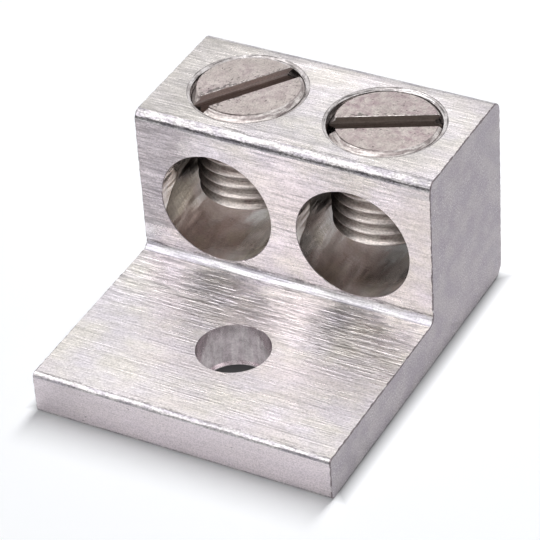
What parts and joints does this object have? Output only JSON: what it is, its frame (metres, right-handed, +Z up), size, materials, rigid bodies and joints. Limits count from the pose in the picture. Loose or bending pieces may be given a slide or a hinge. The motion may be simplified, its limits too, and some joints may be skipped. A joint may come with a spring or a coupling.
{
  "type": "mechanical lug",
  "caption": "Mechanical wire lug: an extruded aluminium body with a bolt-down tongue, wire ways drilled through its raised block, and slotted set screws that clamp the wires.",
  "frame": {"origin": "on the underside that bolts to the bus bar, below the middle of the lug's outline", "axes": "+X across the lug and along the extrusion, +Y from the tongue's tip to the back of the block, +Z up through the bolt hole and the set screws"},
  "size_m": [0.0318, 0.0382, 0.0211],
  "materials": {
    "tinned_aluminium": "tin-plated extrusion, satin, with fine die lines across the lug and plain saw-cut ends",
    "plated_screw": "plated, dull warm grey, turned and threaded, with a sawn slot"
  },
  "bodies": {
    "body": {"lug_body": "tinned_aluminium"},
    "left_screw": {"set_screw_left": "plated_screw"},
    "right_screw": {"set_screw_right": "plated_screw"}
  },
  "joints": [
    {"name": "left_screw_travel", "type": "slide", "parent": "body", "child": "left_screw", "axis": [0, 0, 1], "range_m": [-0.00095, 0.00762]},
    {"name": "right_screw_travel", "type": "slide", "parent": "body", "child": "right_screw", "axis": [0, 0, 1], "range_m": [-0.0008, 0.00762]}
  ]
}
